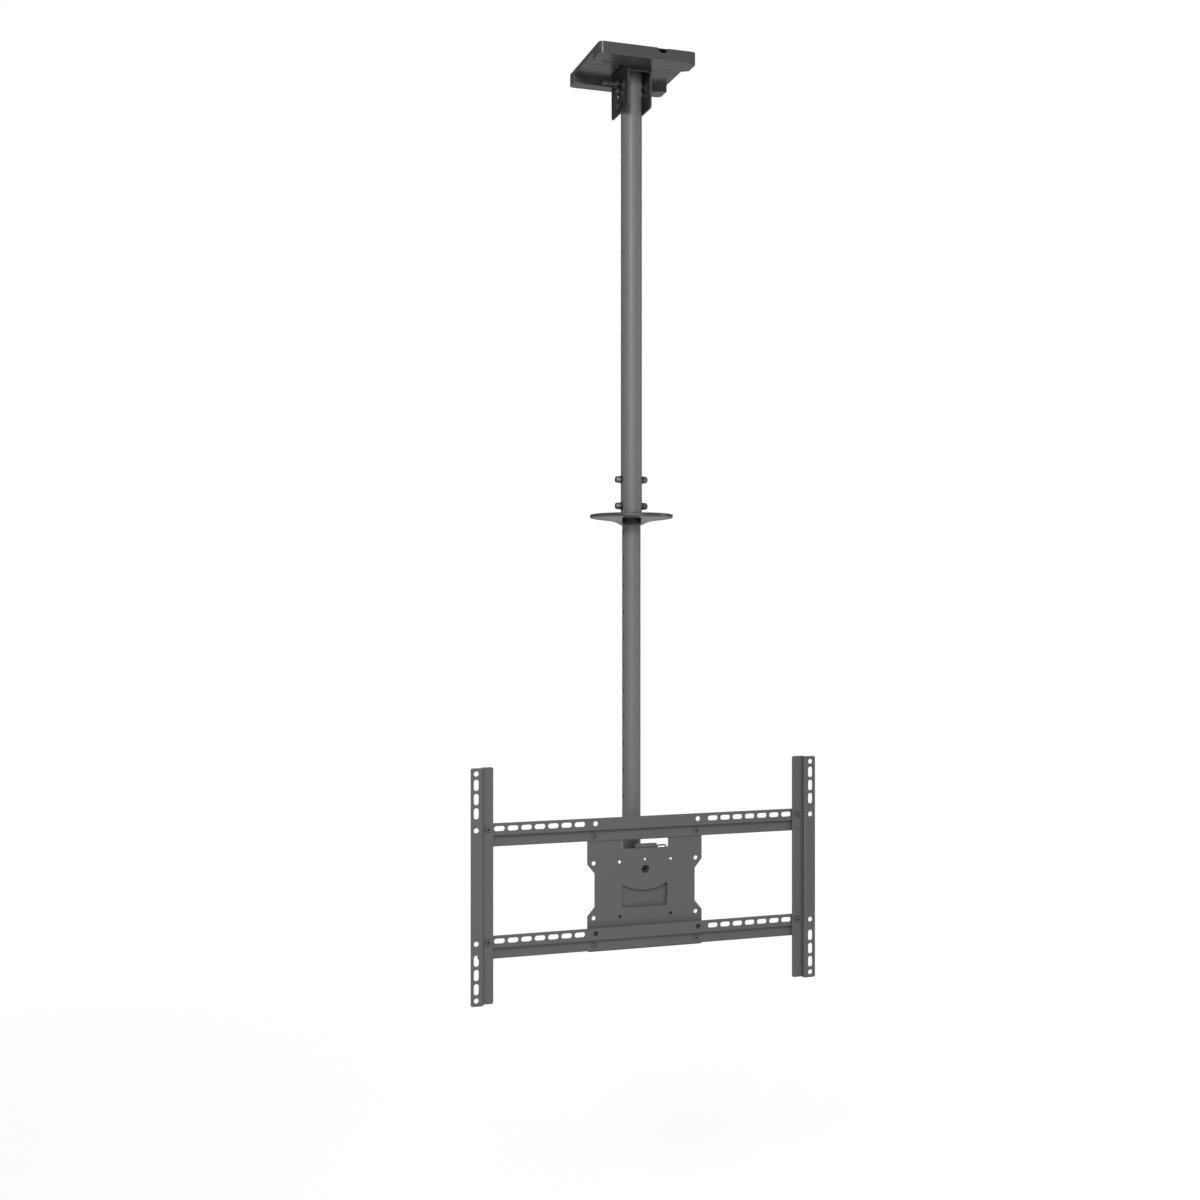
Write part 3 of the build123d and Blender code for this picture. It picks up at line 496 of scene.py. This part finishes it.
# Tray. Turned disc in satin grey at the end of the outer tube, with a black guide bush
# that the lower tube slides in; a grub screw at the back holds it.
tray_satin = coat("tray satin", (0.066, 0.067, 0.069), roughness=0.28, specular=0.5,
                  grain_size=1700.0, grain_depth=0.12, cloud=0.06, edge_width=0.0008, edge_light=0.08)
dress(tray_satin, "tray")
bush_plastic = coat("bush plastic", (0.016, 0.016, 0.017), roughness=0.5, specular=0.35,
                    grain_size=1700.0, grain_depth=0.3, cloud=0.1, edge_width=0.0005, edge_light=0.05)
dress(bush_plastic, "tray_bush", "tube_plug")


# Head. Welded sleeve that turns on the lower tube, with the tilt tube and its axle in front.
# The weld beads are laid along the seams before the coat goes on.
def weld(name, runs, width, material, body):
    """Weld beads: overlapping drops along each run of points."""
    shapes = []
    for points in runs:
        for start, end in zip(points, points[1:]):
            gap = Vector(end) - Vector(start)
            count = max(1, round(gap.length / (0.34 * width)))
            for step in range(count):
                drop = bmesh.new()
                bmesh.ops.create_uvsphere(drop, u_segments=10, v_segments=6, radius=width / 2)
                bmesh.ops.translate(drop, vec=Vector(start) + gap * (step / count), verts=drop.verts)
                shapes.append(drop)
    return piece(name, shapes, material, body)


# The frame coat's creases and folds get painted shade.
frame_coat = coat("frame coat", (0.103, 0.104, 0.107), roughness=0.44, specular=0.42,
                  grain_size=1300.0, grain_depth=0.30, cloud=0.07, edge_width=0.0006, edge_light=0.07,
                  crevice=0.9)
dress(frame_coat, "swivel_head", "thrust_ring")
SLEEVE_R, LUG_HALF, LUG_TOP, LUG_LOW = 0.021, 0.013, -1.5198, -1.5338
AXLE_Y, AXLE_Z = -0.042, -1.5263
sleeve_front = -math.sqrt(SLEEVE_R ** 2 - LUG_HALF ** 2)
rim = []
for step in range(9):
    x = LUG_HALF * (step / 4 - 1)
    rim.append((x, -math.sqrt(SLEEVE_R ** 2 - x ** 2), LUG_TOP))
seams = [rim, [(x, y, LUG_LOW) for x, y, z in rim]]
for side in (-1, 1):
    seams.append([(side * LUG_HALF, sleeve_front, end) for end in (LUG_LOW, LUG_TOP)])
weld("head_welds", seams, 0.0030, frame_coat, "head")
M6, M6_BORE, M6_PITCH = 0.00295, 0.0030, 0.001
screws("swivel_screw", BACK, M6, 0.005, 0.005, 0.004, M6_PITCH, 0.005, black_zinc, "head")
screws("tilt_bolt", LEFT, M8, 0.007, 0.0045, 0.005, M8_PITCH, 0.024, black_zinc, "head")


# Knob. Seven-lobed moulded hand knob that clamps the tilt at the right end of the axle,
# with rounded edges, a dished face and a plain hub towards the head.
knob_plastic = coat("knob plastic", (0.016, 0.016, 0.017), roughness=0.38, specular=0.45,
                    grain_size=1500.0, grain_depth=0.3, cloud=0.1, edge_width=0.0008, edge_light=0.03)
knob_low, knob_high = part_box("tilt_knob")
KNOB_R, HUB_R, HUB_DEEP, KNOB_BORE = 0.0229, 0.009, 0.005, 0.00407
knob_long = knob_high[0] - knob_low[0]
lobe_way = 0.5 if knob_high[1] - AXLE_Y > AXLE_Y - knob_low[1] else -0.5
knob_rings = [("round", KNOB_BORE, 0), ("round", HUB_R, 0), ("round", HUB_R, HUB_DEEP)]
for inset, height in ((0.0030, HUB_DEEP), (0.0010, HUB_DEEP + 0.0003), (0.0002, HUB_DEEP + 0.0011),
                      (0, HUB_DEEP + 0.0024), (0, knob_long - 0.0032), (0.0003, knob_long - 0.0018),
                      (0.0011, knob_long - 0.0006), (0.0024, knob_long - 0.0001), (0.0040, knob_long)):
    knob_rings.append(("lobe", KNOB_R - inset, height))
knob_rings += [("round", 0.0125, knob_long), ("round", 0.0115, knob_long - 0.0004),
               ("round", 0.0105, knob_long - 0.0018), ("round", 0.0068, knob_long - 0.0022),
               ("round", 0.0063, knob_long - 0.0008), ("round", KNOB_BORE, knob_long - 0.0008)]
knob_spot = Vector((knob_low[0], AXLE_Y, AXLE_Z))
knob_shape = stood(turned(knob_rings, bore=True, phase=lobe_way * math.pi), knob_spot, RIGHT)
knob = piece("tilt_knob_detail", [knob_shape], knob_plastic, "knob")
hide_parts("tilt_knob")


# Screen plate and bracket. Punched 2.5 mm steel sheet, powder coated dark grey. The folded
# bracket carries the plate on the tilt axle, and its ears are welded to its web.
dress(frame_coat, "tilt_bracket", "vesa_plate")
EAR_OUT, WEB_BACK, EAR_LOW, EAR_TOP = 0.0428, -0.066, -1.5523, -1.5113
ear_seams = [[(side * EAR_OUT, WEB_BACK, end) for end in (EAR_LOW, EAR_TOP)] for side in (-1, 1)]
weld("bracket_welds", ear_seams, 0.0026, frame_coat, "screen_frame")
screws("centre_bolt", FRONT, M6, 0.0052, 0.004, 0.004, M6_PITCH, 0.007, black_zinc, "screen_frame")
nuts("centre_nut", "centre_bolt", BACK, 0.0052, M6_BORE, 0.010, CORNER_UP, black_zinc, "screen_frame")
dress(black_coat, "cable_ring")


# Rails. Two Z-folded and slotted 2 mm sheets across the plate, each held by two small
# screws whose heads are coated over with the frame.
dress(frame_coat, "top_rail", "bottom_rail")
coated_zinc = zinc("coated zinc", (0.105, 0.105, 0.108), metallic=0.35, roughness=0.42, blotch=0.12,
                   marks=0.15, edge_light=0.12)
screws("rail_screws", FRONT, 0.0025, 0.0045, 0.0028, 0.0022, 0.0008, 0.0075, coated_zinc, "screen_frame")
nuts("rail_nuts", "rail_screws", BACK, 0.0045, 0.00255, 0.008, CORNER_UP, coated_zinc, "screen_frame")


# Arms. Two Z-folded and slotted sheets that stand on the rails' ends and slide in the last
# slots, with two screws and nuts each.
for side in ("left", "right"):
    arm = side + "_arm"
    body = "arm_" + side
    dress(frame_coat, arm)
    screws(arm + "_screws", FRONT, 0.003, 0.0048, 0.004, 0.0028, M6_PITCH, 0.0065, coated_zinc, body)
    nuts(arm + "_nuts", arm + "_screws", BACK, 0.0048, 0.00305, 0.010, CORNER_UP, coated_zinc, body)


# Studio. A pale floor well below the hanging mount, whose white grows with distance so
# that no horizon shows, and soft lamps at the front left, the front, the right and behind.
def soft_lamp(name, place, target, size, power):
    """Large area lamp aimed at a point."""
    light = bpy.data.lights.new(name, "AREA")
    light.shape = "RECTANGLE"
    light.size, light.size_y = size
    light.energy = power
    lamp = bpy.data.objects.new(name, light)
    bpy.context.scene.collection.objects.link(lamp)
    lamp.location = place
    way = Vector(target) - Vector(place)
    lamp.rotation_euler = way.to_track_quat("-Z", "Y").to_euler()
    return lamp


soft_lamp("key", (-1.5, -3.2, 0.75), (0, 0, -1.0), (0.85, 0.85), 72)
soft_lamp("front", (-0.6, -3.6, -0.7), (0, 0, -1.0), (3.0, 2.2), 40)
soft_lamp("side", (3.0, -0.4, -0.6), (0, 0, -0.9), (0.8, 2.6), 13)
soft_lamp("back", (0.9, 3.0, 0.5), (0, 0, -0.8), (1.8, 1.2), 36)

world = bpy.data.worlds.new("studio")
bpy.context.scene.world = world
world.use_nodes = True
nodes, links = world.node_tree.nodes, world.node_tree.links
air = nodes["Background"]
path = nodes.new("ShaderNodeLightPath")
dim = nodes.new("ShaderNodeMix")
dim.data_type = "FLOAT"
dim.inputs["A"].default_value = 0.42
dim.inputs["B"].default_value = 0.13
links.new(path.outputs["Is Glossy Ray"], dim.inputs["Factor"])
level = nodes.new("ShaderNodeMix")
level.data_type = "FLOAT"
level.inputs["B"].default_value = 1.0
links.new(path.outputs["Is Camera Ray"], level.inputs["Factor"])
links.new(dim.outputs["Result"], level.inputs["A"])
links.new(level.outputs["Result"], air.inputs["Strength"])
air.inputs["Color"].default_value = (1, 1, 1, 1)

floor_mesh = bmesh.new()
bmesh.ops.create_grid(floor_mesh, x_segments=1, y_segments=1, size=9.0)
bmesh.ops.translate(floor_mesh, vec=(0, 0, -2.5), verts=floor_mesh.verts)
floor_data = bpy.data.meshes.new("floor")
floor_mesh.to_mesh(floor_data)
floor = bpy.data.objects.new("floor", floor_data)
bpy.context.scene.collection.objects.link(floor)
pale = bpy.data.materials.new("pale floor")
pale.use_nodes = True
nodes, links = pale.node_tree.nodes, pale.node_tree.links
ground = nodes["Principled BSDF"]
ground.inputs["Base Color"].default_value = (0.45, 0.45, 0.45, 1)
ground.inputs["Roughness"].default_value = 0.9
path = nodes.new("ShaderNodeLightPath")
place = nodes.new("ShaderNodeTexCoord")
away = nodes.new("ShaderNodeVectorMath")
away.operation = "LENGTH"
links.new(place.outputs["Object"], away.inputs[0])
fade = nodes.new("ShaderNodeMapRange")
fade.interpolation_type = "SMOOTHSTEP"
fade.inputs["From Min"].default_value = 2.6
fade.inputs["From Max"].default_value = 5.8
fade.inputs["To Min"].default_value = 0.634
fade.inputs["To Max"].default_value = 0.816
links.new(away.outputs["Value"], fade.inputs["Value"])
seen = nodes.new("ShaderNodeMath")
seen.operation = "MULTIPLY"
links.new(fade.outputs["Result"], seen.inputs[0])
links.new(path.outputs["Is Camera Ray"], seen.inputs[1])
lift = nodes.new("ShaderNodeMath")
lift.operation = "MULTIPLY_ADD"
lift.inputs[1].default_value = 0.50
links.new(path.outputs["Is Glossy Ray"], lift.inputs[0])
links.new(seen.outputs[0], lift.inputs[2])
ground.inputs["Emission Color"].default_value = (1, 1, 1, 1)
links.new(lift.outputs[0], ground.inputs["Emission Strength"])
floor_data.materials.append(pale)


# Camera. It stands left of the mount at about its half height and looks level.
camera_data = bpy.data.cameras.new("camera")
camera_data.lens = 43.8
camera_data.sensor_width = 36.0
camera_data.clip_end = 60.0
camera = bpy.data.objects.new("camera", camera_data)
bpy.context.scene.collection.objects.link(camera)
camera.location = (-0.923, -2.611, -1.0157)
camera.rotation_euler = Vector((0.3130, 0.9498, 0.0)).to_track_quat("-Z", "Y").to_euler()
bpy.context.scene.camera = camera
bpy.context.scene.view_settings.view_transform = "Standard"
